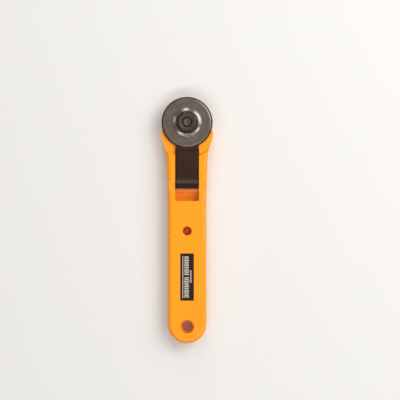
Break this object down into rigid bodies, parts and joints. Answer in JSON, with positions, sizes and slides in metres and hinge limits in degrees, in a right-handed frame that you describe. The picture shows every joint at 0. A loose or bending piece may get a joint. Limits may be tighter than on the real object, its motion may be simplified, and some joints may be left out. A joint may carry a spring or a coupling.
{
  "type": "rotary cutter",
  "caption": "Straight-handled rotary cutter with a small round blade, a sliding blade guard with a thumb ramp, a fluted clamping nut and a round hang hole.",
  "frame": {"origin": "on the surface the cutter lies on, under the middle of its bounding box", "axes": "+Y along the handle towards the blade, +Z out of the front face (the nut's side), +X to the right seen from the front"},
  "size_m": [0.0298, 0.1424, 0.0144],
  "materials": {
    "handle_plastic": "moulded orange-yellow ABS, satin gloss",
    "guard_plastic": "moulded black-brown ABS, satin",
    "nut_plastic": "moulded black plastic, fine grain",
    "blade_steel": "ground tool steel, finely brushed",
    "washer_steel": "bright tumbled spring steel",
    "spring_steel": "blued spring steel strip",
    "bolt_steel": "black-oxide turned steel",
    "screw_steel": "copper-washed steel",
    "insert_steel": "black-oxide turned steel",
    "label_film": "dark printed film with plain pale bars"
  },
  "bodies": {
    "handle": {"handle_front_shell": "handle_plastic", "handle_back_shell": "handle_plastic", "axle_bolt": "bolt_steel", "axle_collar": "bolt_steel", "handle_screw": "screw_steel", "label_plate": "label_film"},
    "guard": {"blade_guard": "guard_plastic", "guard_keeper": "spring_steel", "keeper_screw": "screw_steel"},
    "blade_disc": {"blade": "blade_steel"},
    "washer": {"spring_washer": "washer_steel"},
    "nut": {"nut_knob": "nut_plastic", "nut_insert": "insert_steel"}
  },
  "joints": [
    {"name": "guard_slide", "type": "slide", "parent": "handle", "child": "guard", "axis": [0, -1, 0], "range_m": [0, 0.005]},
    {"name": "blade_spin", "type": "hinge", "parent": "handle", "child": "blade_disc", "pos_m": [0, 0.0565, 0.00925], "axis": [0, 0, 1], "continuous": true},
    {"name": "washer_lift", "type": "slide", "parent": "handle", "child": "washer", "axis": [0, 0, 1], "range_m": [0, 0.0032]},
    {"name": "nut_turn", "type": "hinge", "parent": "washer", "child": "nut", "pos_m": [0, 0.0565, 0.0125], "axis": [0, 0, 1], "range_deg": [0, 1440]}
  ],
  "couplings": [
    {"joint": "nut_turn", "follows": "washer_lift", "rad_per_m": 7850}
  ]
}
